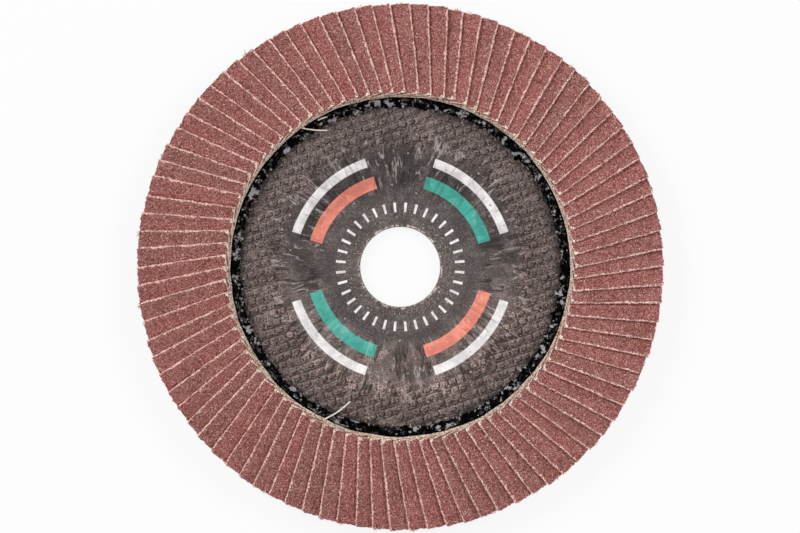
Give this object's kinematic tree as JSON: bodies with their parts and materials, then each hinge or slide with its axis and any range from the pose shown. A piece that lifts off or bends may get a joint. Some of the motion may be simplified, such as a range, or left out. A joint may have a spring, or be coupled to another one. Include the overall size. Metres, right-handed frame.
{
  "type": "flap disc",
  "caption": "Dished backing plate with a bore and a ring of overlapping abrasive cloth flaps set in resin, for an angle grinder.",
  "frame": {"origin": "on the bore axis, in the hub's back face", "axes": "+Z along the bore axis, out of the abrasive side"},
  "size_m": [0.1456, 0.1456, 0.0151],
  "materials": {
    "fibreglass": "resin-bonded glass cloth, dark, with the weave pressed into it",
    "label_paper": "thin dark printed paper, creased, with the weave beneath showing",
    "resin": "glossy black cured epoxy, lumpy",
    "abrasive_cloth": "red-brown abrasive grain on cloth with cream cut edges"
  },
  "bodies": {
    "root": {"backing_plate": "fibreglass", "front_label": "label_paper", "resin_ring": "resin", "flaps_01": "abrasive_cloth", "flaps_02": "abrasive_cloth", "flaps_03": "abrasive_cloth", "flaps_04": "abrasive_cloth", "flaps_05": "abrasive_cloth", "flaps_06": "abrasive_cloth", "flaps_07": "abrasive_cloth", "flaps_08": "abrasive_cloth", "flaps_09": "abrasive_cloth", "flaps_10": "abrasive_cloth", "flaps_11": "abrasive_cloth", "flaps_12": "abrasive_cloth", "flaps_13": "abrasive_cloth", "flaps_14": "abrasive_cloth", "flaps_15": "abrasive_cloth", "flaps_16": "abrasive_cloth", "flaps_17": "abrasive_cloth", "flaps_18": "abrasive_cloth", "flaps_19": "abrasive_cloth", "flaps_20": "abrasive_cloth", "flaps_21": "abrasive_cloth", "flaps_22": "abrasive_cloth", "flaps_23": "abrasive_cloth", "flaps_24": "abrasive_cloth", "flaps_25": "abrasive_cloth", "flaps_26": "abrasive_cloth", "flaps_27": "abrasive_cloth", "flaps_28": "abrasive_cloth", "flaps_29": "abrasive_cloth", "flaps_30": "abrasive_cloth", "flaps_31": "abrasive_cloth", "flaps_32": "abrasive_cloth", "flaps_33": "abrasive_cloth", "flaps_34": "abrasive_cloth", "flaps_35": "abrasive_cloth", "flaps_36": "abrasive_cloth", "flaps_37": "abrasive_cloth", "flaps_38": "abrasive_cloth", "flaps_39": "abrasive_cloth", "flaps_40": "abrasive_cloth", "flaps_41": "abrasive_cloth", "flaps_42": "abrasive_cloth", "flaps_43": "abrasive_cloth", "flaps_44": "abrasive_cloth", "flaps_45": "abrasive_cloth"}
  },
  "joints": []
}
